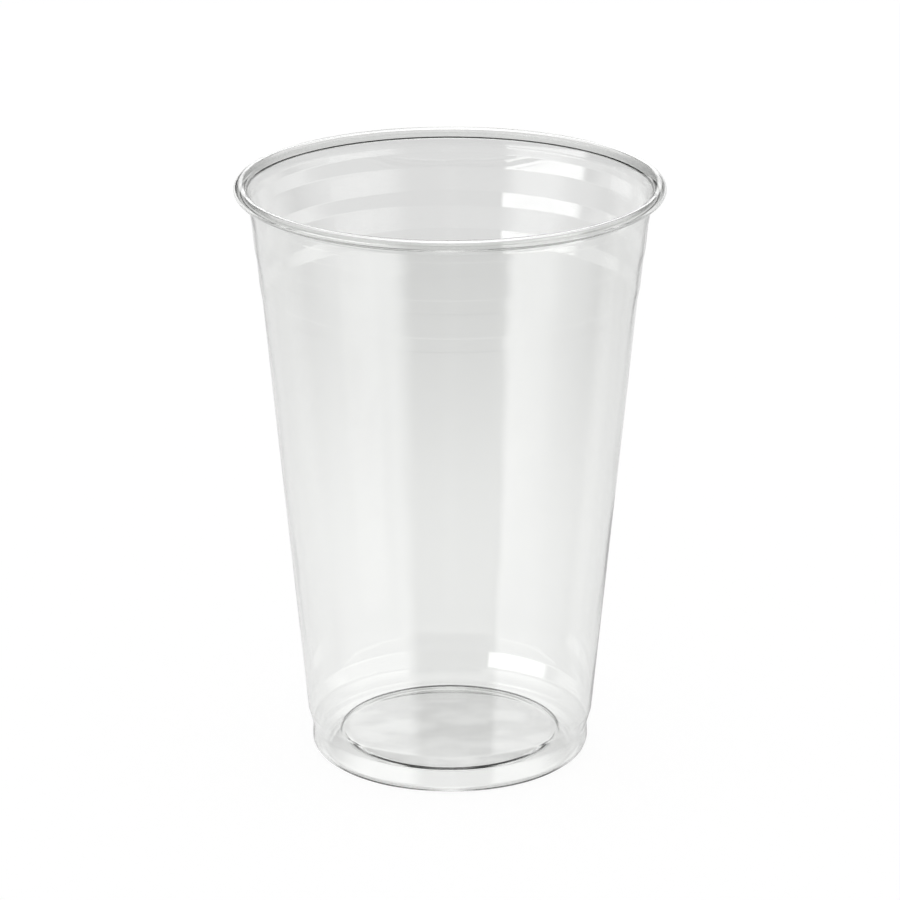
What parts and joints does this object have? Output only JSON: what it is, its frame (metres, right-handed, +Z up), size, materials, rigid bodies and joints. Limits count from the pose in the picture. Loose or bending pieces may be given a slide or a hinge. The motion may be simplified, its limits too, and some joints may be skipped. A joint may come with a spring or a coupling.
{
  "type": "plastic disposable cup",
  "caption": "Clear thin-walled disposable drinks cup with a rolled rim, tapered wall, stacking steps and a raised floor.",
  "frame": {"origin": "middle of the foot's underside, on the surface that the cup stands on", "axes": "+Z up along the cup's axis, out of its mouth; the cup is round, so X and Y are free"},
  "size_m": [0.098, 0.098, 0.137],
  "materials": {
    "clear_plastic": "clear, glossy"
  },
  "bodies": {
    "root": {"cup": "clear_plastic"}
  },
  "joints": []
}
